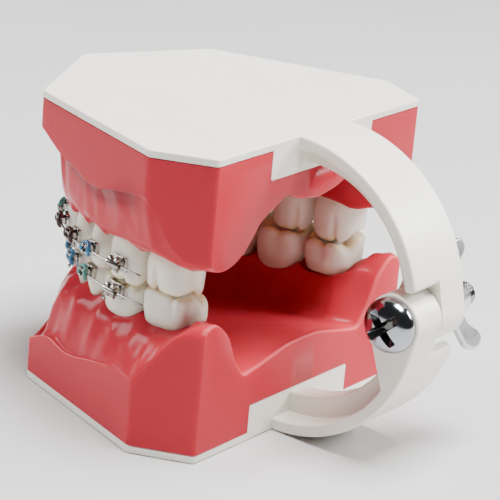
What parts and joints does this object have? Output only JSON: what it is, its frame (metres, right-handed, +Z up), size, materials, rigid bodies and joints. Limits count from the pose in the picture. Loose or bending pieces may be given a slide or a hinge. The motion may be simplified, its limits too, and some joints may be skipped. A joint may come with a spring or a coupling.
{
  "type": "typodont model",
  "caption": "Hinged dental teaching model: upper and lower gums with teeth and fixed braces on white base plates, joined behind by curved arms, a screw and a wing nut.",
  "frame": {"origin": "middle of the lower base plate's flat underside", "axes": "+Z up through both jaws, the incisors face -Y, the hinge is at +Y, +X is the model's left side"},
  "size_m": [0.075, 0.0919, 0.06],
  "materials": {
    "plate_white": "satin moulded plastic",
    "gum_pink": "glossy pink resin",
    "tooth_ivory": "semi-gloss ivory resin",
    "bracket_steel": "bright stainless",
    "wire_steel": "drawn stainless wire",
    "screw_chrome": "polished chrome plating",
    "nut_zinc": "bright zinc plating"
  },
  "bodies": {
    "lower_jaw": {"lower_archwire": "wire_steel", "lower_gum": "gum_pink", "lower_left_canine": "tooth_ivory", "lower_left_canine_bracket": "bracket_steel", "lower_left_central_incisor": "tooth_ivory", "lower_left_central_incisor_bracket": "bracket_steel", "lower_left_first_molar": "tooth_ivory", "lower_left_first_premolar": "tooth_ivory", "lower_left_first_premolar_bracket": "bracket_steel", "lower_left_lateral_incisor": "tooth_ivory", "lower_left_lateral_incisor_bracket": "bracket_steel", "lower_left_molar_tube": "bracket_steel", "lower_left_second_molar": "tooth_ivory", "lower_left_second_premolar": "tooth_ivory", "lower_left_second_premolar_bracket": "bracket_steel", "lower_plate": "plate_white", "lower_right_canine": "tooth_ivory", "lower_right_canine_bracket": "bracket_steel", "lower_right_central_incisor": "tooth_ivory", "lower_right_central_incisor_bracket": "bracket_steel", "lower_right_first_molar": "tooth_ivory", "lower_right_first_premolar": "tooth_ivory", "lower_right_first_premolar_bracket": "bracket_steel", "lower_right_lateral_incisor": "tooth_ivory", "lower_right_lateral_incisor_bracket": "bracket_steel", "lower_right_molar_tube": "bracket_steel", "lower_right_second_molar": "tooth_ivory", "lower_right_second_premolar": "tooth_ivory", "lower_right_second_premolar_bracket": "bracket_steel"},
    "upper_jaw": {"upper_archwire": "wire_steel", "upper_gum": "gum_pink", "upper_left_canine": "tooth_ivory", "upper_left_canine_bracket": "bracket_steel", "upper_left_central_incisor": "tooth_ivory", "upper_left_central_incisor_bracket": "bracket_steel", "upper_left_first_molar": "tooth_ivory", "upper_left_first_premolar": "tooth_ivory", "upper_left_first_premolar_bracket": "bracket_steel", "upper_left_lateral_incisor": "tooth_ivory", "upper_left_lateral_incisor_bracket": "bracket_steel", "upper_left_molar_tube": "bracket_steel", "upper_left_second_molar": "tooth_ivory", "upper_left_second_premolar": "tooth_ivory", "upper_left_second_premolar_bracket": "bracket_steel", "upper_plate": "plate_white", "upper_right_canine": "tooth_ivory", "upper_right_canine_bracket": "bracket_steel", "upper_right_central_incisor": "tooth_ivory", "upper_right_central_incisor_bracket": "bracket_steel", "upper_right_first_molar": "tooth_ivory", "upper_right_first_premolar": "tooth_ivory", "upper_right_first_premolar_bracket": "bracket_steel", "upper_right_lateral_incisor": "tooth_ivory", "upper_right_lateral_incisor_bracket": "bracket_steel", "upper_right_molar_tube": "bracket_steel", "upper_right_second_molar": "tooth_ivory", "upper_right_second_premolar": "tooth_ivory", "upper_right_second_premolar_bracket": "bracket_steel"},
    "screw": {"hinge_screw": "screw_chrome"},
    "nut": {"wing_nut": "nut_zinc"}
  },
  "joints": [
    {"name": "jaw_hinge", "type": "hinge", "parent": "lower_jaw", "child": "upper_jaw", "pos_m": [0, 0.05565, 0.03], "axis": [-1, 0, 0], "range_deg": [0, 100]},
    {"name": "screw_turn", "type": "hinge", "parent": "lower_jaw", "child": "screw", "pos_m": [0, 0.05565, 0.03], "axis": [1, 0, 0], "continuous": true},
    {"name": "wing_nut_turn", "type": "hinge", "parent": "screw", "child": "nut", "pos_m": [0, 0.05565, 0.03], "axis": [1, 0, 0], "continuous": true}
  ]
}
